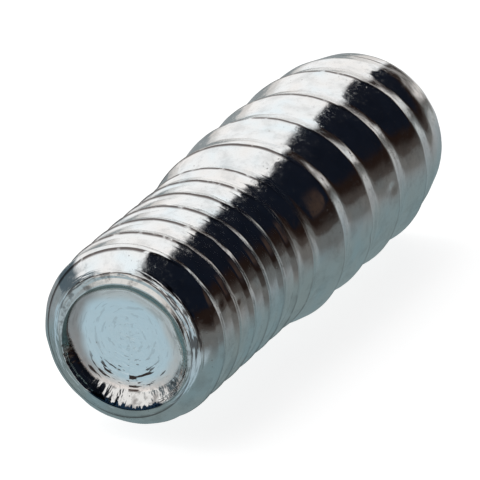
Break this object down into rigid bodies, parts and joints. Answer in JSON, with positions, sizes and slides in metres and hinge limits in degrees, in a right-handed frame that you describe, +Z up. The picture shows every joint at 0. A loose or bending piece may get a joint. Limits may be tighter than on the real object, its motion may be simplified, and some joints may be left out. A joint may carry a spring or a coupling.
{
  "type": "double end screw",
  "caption": "Headless double end screw lying on its side: fine machine thread with a shallow hex socket at one end, coarse thread with a tapered tip at the other.",
  "frame": {"origin": "middle of the screw's footprint on the surface that it lies on", "axes": "+X along the screw's axis from the socket end to the coarse end, +Z up"},
  "size_m": [0.021, 0.007, 0.007],
  "materials": {
    "zinc_steel": "bright zinc plating, slightly blue, with fine scratches and specks"
  },
  "bodies": {
    "root": {"screw": "zinc_steel"}
  },
  "joints": []
}
